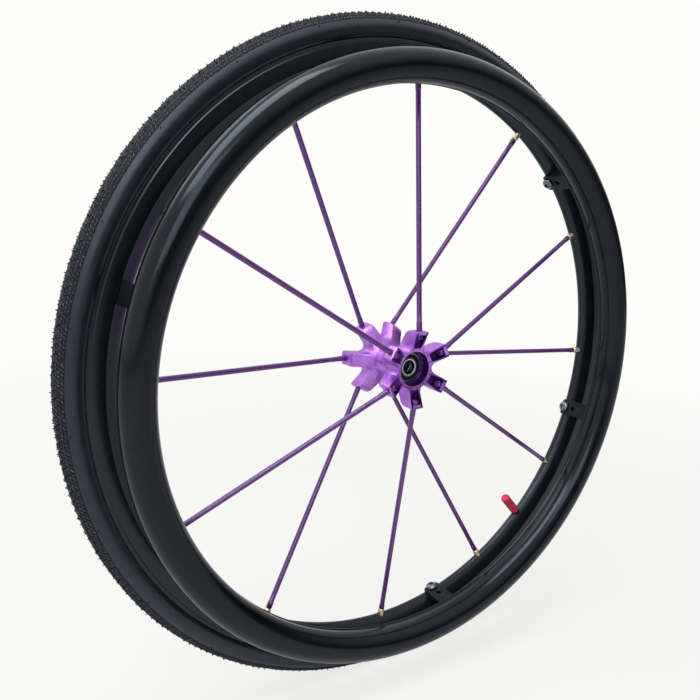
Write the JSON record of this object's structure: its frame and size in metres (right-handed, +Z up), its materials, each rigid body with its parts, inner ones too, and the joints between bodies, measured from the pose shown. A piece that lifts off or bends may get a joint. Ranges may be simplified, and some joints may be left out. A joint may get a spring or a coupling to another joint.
{
  "type": "wheelchair wheel",
  "caption": "Spoked rear wheel of a sports wheelchair, with an air tyre, a round hand ring on tabs and a machined hub on ball bearings.",
  "frame": {"origin": "centre of the tyre and rim, on the wheel's axis", "axes": "+Y along the axle towards the chair, so the hand ring is on the -Y side; +Z up; the wheel spins about +Y"},
  "size_m": [0.59, 0.0986, 0.59],
  "materials": {
    "tyre": "fine woven-look rubber, matt",
    "butyl": "matt",
    "tape": "woven tape",
    "rim": "black anodised, satin",
    "handrim": "black coating, glossy",
    "tab": "black, satin",
    "hub": "purple anodised, machined",
    "spoke": "purple jacket over a fibre core",
    "brass": "nickel-plated, satin",
    "steel": "ground, bright",
    "spacer": "plain turned",
    "screw": "darkened, satin",
    "seal": "matt",
    "stem": "matt",
    "cap": "red anodised"
  },
  "bodies": {
    "axle_line": {"outboard_inner_race": "steel", "inboard_inner_race": "steel", "axle_spacer": "spacer"},
    "wheel": {"tyre": "tyre", "inner_tube": "butyl", "rim_tape": "tape", "rim": "rim", "hub_shell": "hub", "handrim": "handrim", "spoke_01": "spoke", "spoke_02": "spoke", "spoke_03": "spoke", "spoke_04": "spoke", "spoke_05": "spoke", "spoke_06": "spoke", "spoke_07": "spoke", "spoke_08": "spoke", "spoke_09": "spoke", "spoke_10": "spoke", "spoke_11": "spoke", "spoke_12": "spoke", "nipple_01": "brass", "nipple_02": "brass", "nipple_03": "brass", "nipple_04": "brass", "nipple_05": "brass", "nipple_06": "brass", "nipple_07": "brass", "nipple_08": "brass", "nipple_09": "brass", "nipple_10": "brass", "nipple_11": "brass", "nipple_12": "brass", "handrim_tab_1": "tab", "handrim_tab_2": "tab", "handrim_tab_3": "tab", "handrim_tab_4": "tab", "handrim_tab_5": "tab", "handrim_tab_6": "tab", "tab_screw_1": "screw", "tab_screw_2": "screw", "tab_screw_3": "screw", "tab_screw_4": "screw", "tab_screw_5": "screw", "tab_screw_6": "screw", "outboard_outer_race": "steel", "outboard_outer_seal": "seal", "outboard_inner_seal": "seal", "inboard_outer_race": "steel", "inboard_outer_seal": "seal", "inboard_inner_seal": "seal", "valve_stem": "stem", "valve_cap": "cap"},
    "outboard_cage": {"outboard_ball_cage": "steel"},
    "inboard_cage": {"inboard_ball_cage": "steel"},
    "valve_core": {"valve_pin": "brass"}
  },
  "joints": [
    {"name": "wheel_spin", "type": "hinge", "parent": "axle_line", "child": "wheel", "pos_m": [0, 0, 0], "axis": [0, 1, 0], "continuous": true},
    {"name": "outboard_cage_spin", "type": "hinge", "parent": "axle_line", "child": "outboard_cage", "pos_m": [0, 0, 0], "axis": [0, 1, 0], "continuous": true},
    {"name": "inboard_cage_spin", "type": "hinge", "parent": "axle_line", "child": "inboard_cage", "pos_m": [0, 0, 0], "axis": [0, 1, 0], "continuous": true},
    {"name": "valve_pin_slide", "type": "slide", "parent": "wheel", "child": "valve_core", "axis": [0.7071, 0, -0.7071], "range_m": [0, 0.0015], "stiffness_N_per_m": 400, "springref_m": -0.002}
  ],
  "couplings": [
    {"joint": "outboard_cage_spin", "follows": "wheel_spin", "ratio": 0.5865},
    {"joint": "inboard_cage_spin", "follows": "wheel_spin", "ratio": 0.5865}
  ]
}
